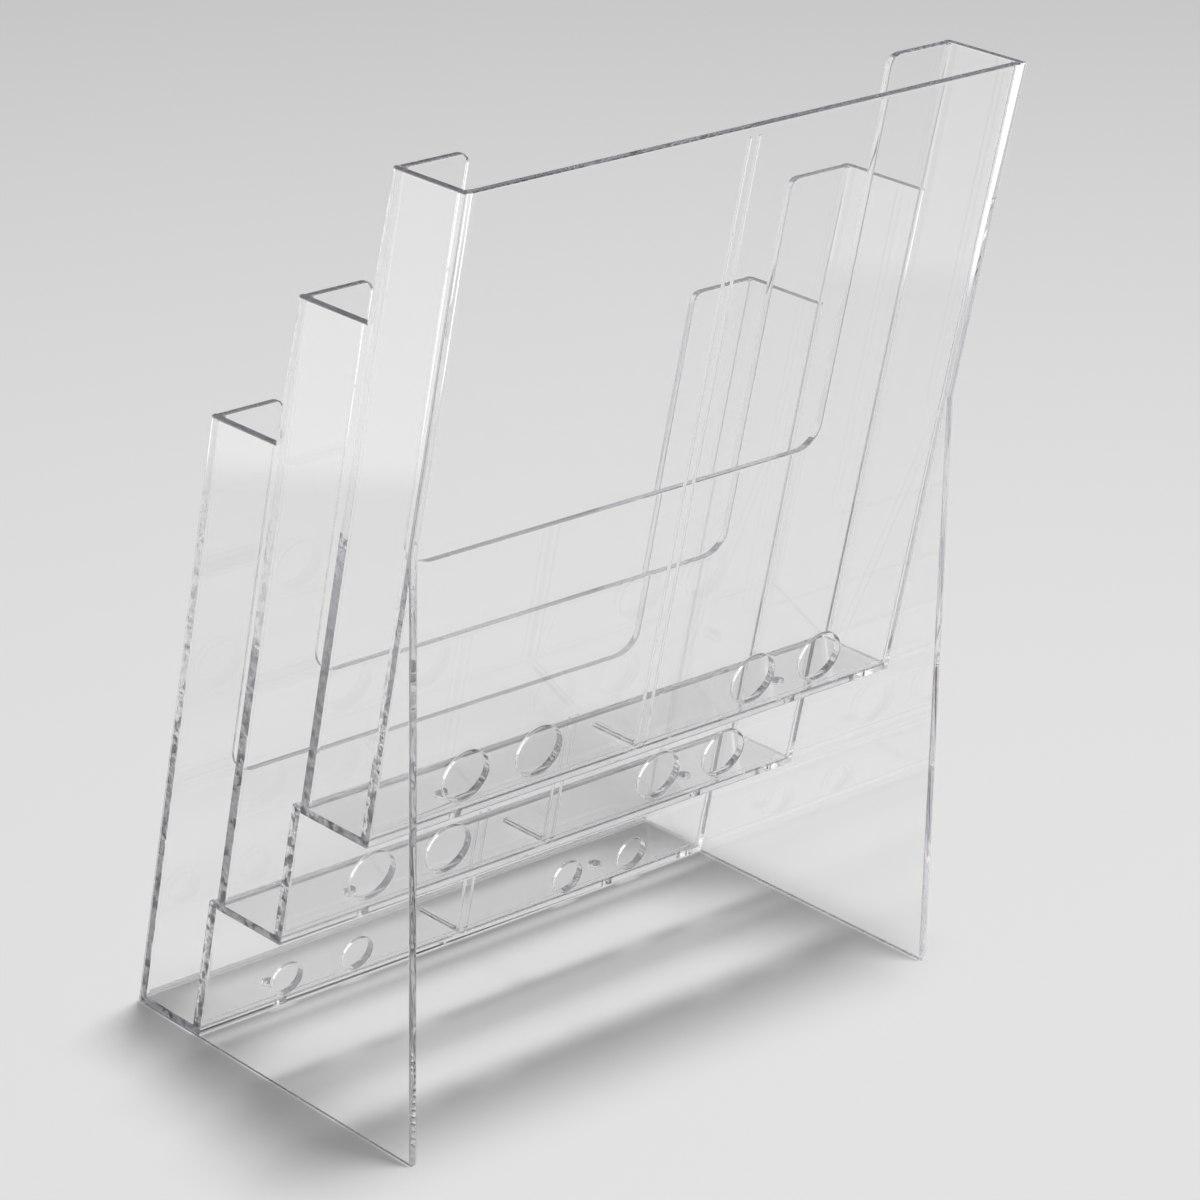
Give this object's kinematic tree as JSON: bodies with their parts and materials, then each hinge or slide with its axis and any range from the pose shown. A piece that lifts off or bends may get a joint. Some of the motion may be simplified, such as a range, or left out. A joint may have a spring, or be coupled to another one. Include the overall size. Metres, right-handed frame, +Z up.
{
  "type": "magazine rack",
  "caption": "Clear counter-standing magazine rack with stepped, back-leaning pockets between two side panels that run down as legs.",
  "frame": {"origin": "on the ground, under the middle of the rack's overall width and depth", "axes": "+X towards the rack's left side as it faces the reader at -Y, +Y towards its back, +Z up"},
  "size_m": [0.24, 0.1808, 0.341],
  "materials": {
    "clear_plastic": "polished, clear"
  },
  "bodies": {
    "root": {"left_side_panel": "clear_plastic", "right_side_panel": "clear_plastic", "front_floor": "clear_plastic", "middle_floor": "clear_plastic", "rear_floor": "clear_plastic", "front_wall": "clear_plastic", "middle_wall": "clear_plastic", "rear_wall": "clear_plastic", "lower_riser": "clear_plastic", "upper_riser": "clear_plastic", "back_panel": "clear_plastic", "front_divider_guide": "clear_plastic", "middle_divider_guide": "clear_plastic", "rear_divider_guide": "clear_plastic", "front_floor_rib": "clear_plastic", "middle_floor_rib": "clear_plastic", "rear_floor_rib": "clear_plastic"}
  },
  "joints": []
}
